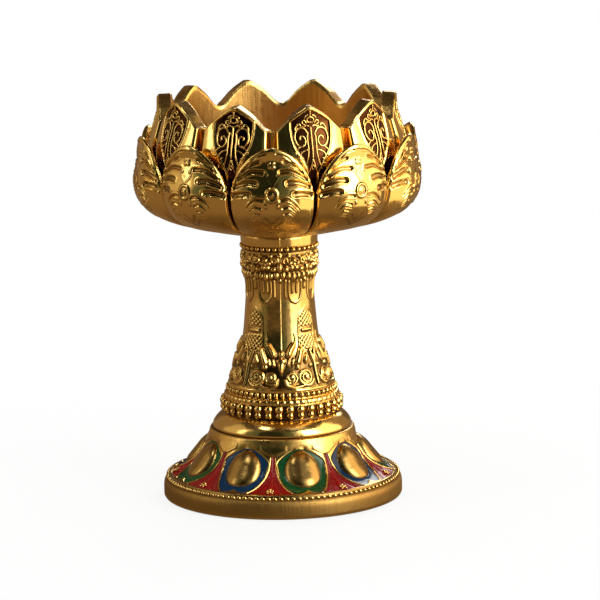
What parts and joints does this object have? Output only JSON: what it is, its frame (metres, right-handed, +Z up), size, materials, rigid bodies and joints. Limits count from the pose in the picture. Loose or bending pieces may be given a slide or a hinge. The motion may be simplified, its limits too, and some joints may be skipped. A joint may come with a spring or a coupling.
{
  "type": "altar candle holder",
  "caption": "Lotus-shaped candle cup with inner and outer petals on an ornamented waisted stem, standing on a round foot with enamelled petals.",
  "frame": {"origin": "centre of the foot's flat bottom, on the surface that the holder stands on", "axes": "+Z up along the stem's axis; -Y is the front, which an outer petal of the cup faces"},
  "size_m": [0.0542, 0.0556, 0.077],
  "materials": {
    "polished_gold": "gold plated, polished, with dark recesses",
    "satin_gold": "gold plated, satin",
    "green_enamel": "glossy enamel",
    "blue_enamel": "glossy enamel",
    "red_enamel": "glossy enamel",
    "zinc_plated_steel": "zinc plated"
  },
  "bodies": {
    "root": {"foot": "satin_gold", "stem": "polished_gold", "candle_cup": "polished_gold", "outer_petal_01": "polished_gold", "outer_petal_02": "polished_gold", "outer_petal_03": "polished_gold", "outer_petal_04": "polished_gold", "outer_petal_05": "polished_gold", "outer_petal_06": "polished_gold", "outer_petal_07": "polished_gold", "outer_petal_08": "polished_gold", "outer_petal_09": "polished_gold", "outer_petal_10": "polished_gold", "enamel_green_01": "green_enamel", "enamel_green_02": "green_enamel", "enamel_green_03": "green_enamel", "enamel_green_04": "green_enamel", "enamel_green_05": "green_enamel", "enamel_blue_01": "blue_enamel", "enamel_blue_02": "blue_enamel", "enamel_blue_03": "blue_enamel", "enamel_blue_04": "blue_enamel", "enamel_red_01": "red_enamel", "enamel_red_02": "red_enamel", "enamel_red_03": "red_enamel", "enamel_red_04": "red_enamel", "enamel_red_05": "red_enamel", "enamel_red_06": "red_enamel", "enamel_red_07": "red_enamel", "enamel_red_08": "red_enamel", "enamel_red_09": "red_enamel", "plain_washer": "zinc_plated_steel", "spring_washer": "zinc_plated_steel", "tie_screw": "zinc_plated_steel"}
  },
  "joints": []
}
